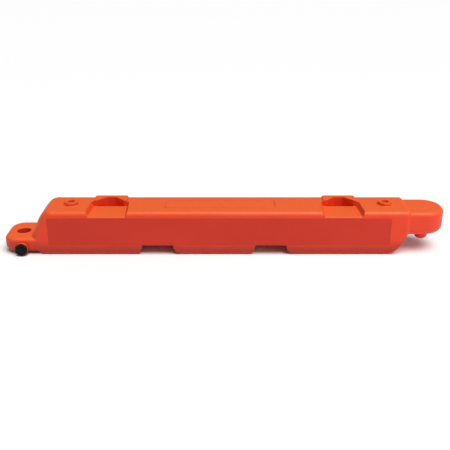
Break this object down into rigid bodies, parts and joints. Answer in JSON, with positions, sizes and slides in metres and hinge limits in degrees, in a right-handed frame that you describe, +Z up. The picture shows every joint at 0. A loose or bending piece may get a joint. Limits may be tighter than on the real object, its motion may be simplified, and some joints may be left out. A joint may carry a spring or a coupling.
{
  "type": "water filled barrier",
  "caption": "Low hollow plastic road barrier that is filled with water, with a socket lug and a pin knuckle for chaining, fork slots and stepped seats in its top.",
  "frame": {"origin": "on the floor, at the middle of the overall length, midway between the two long side walls (the drain plug stands out further on the front)", "axes": "+X along the barrier from the low socket lug to the high pin knuckle, +Y across it away from the drain side, +Z up"},
  "size_m": [2.438, 0.283, 0.271],
  "materials": {
    "orange_polyethylene": "moulded, satin sheen",
    "red_sheeting": "smooth film",
    "black_bushing_plastic": "moulded",
    "black_plug_plastic": "fine texture",
    "gasket_rubber": "matt",
    "orange_cap_plastic": "moulded, satin sheen"
  },
  "bodies": {
    "barrier": {"barrier_body": "orange_polyethylene", "front_sheeting": "red_sheeting", "rear_sheeting": "red_sheeting", "drain_bushing": "black_bushing_plastic", "filler_bushing_left": "black_bushing_plastic", "filler_bushing_right": "black_bushing_plastic"},
    "drain_seal": {"drain_gasket": "gasket_rubber"},
    "drain_closure": {"drain_plug": "black_plug_plastic"},
    "filler_seal_left": {"filler_gasket_left": "gasket_rubber"},
    "filler_closure_left": {"filler_cap_left": "orange_cap_plastic"},
    "filler_seal_right": {"filler_gasket_right": "gasket_rubber"},
    "filler_closure_right": {"filler_cap_right": "orange_cap_plastic"}
  },
  "joints": [
    {"name": "drain_travel", "type": "slide", "parent": "barrier", "child": "drain_seal", "axis": [0, -1, 0], "range_m": [0, 0.0302]},
    {"name": "drain_turn", "type": "hinge", "parent": "drain_seal", "child": "drain_closure", "pos_m": [-1.115, -0.136, 0.038], "axis": [0, -1, 0], "range_deg": [0, 2160]},
    {"name": "filler_left_travel", "type": "slide", "parent": "barrier", "child": "filler_seal_left", "axis": [0, 0, 1], "range_m": [0, 0.0302]},
    {"name": "filler_left_turn", "type": "hinge", "parent": "filler_seal_left", "child": "filler_closure_left", "pos_m": [-0.849, 0, 0.259], "axis": [0, 0, 1], "range_deg": [0, 2160]},
    {"name": "filler_right_travel", "type": "slide", "parent": "barrier", "child": "filler_seal_right", "axis": [0, 0, 1], "range_m": [0, 0.0302]},
    {"name": "filler_right_turn", "type": "hinge", "parent": "filler_seal_right", "child": "filler_closure_right", "pos_m": [0.896, 0, 0.259], "axis": [0, 0, 1], "range_deg": [0, 2160]}
  ],
  "couplings": [
    {"joint": "drain_travel", "follows": "drain_turn", "m_per_rad": 0.00079577},
    {"joint": "filler_left_travel", "follows": "filler_left_turn", "m_per_rad": 0.00079577},
    {"joint": "filler_right_travel", "follows": "filler_right_turn", "m_per_rad": 0.00079577}
  ]
}
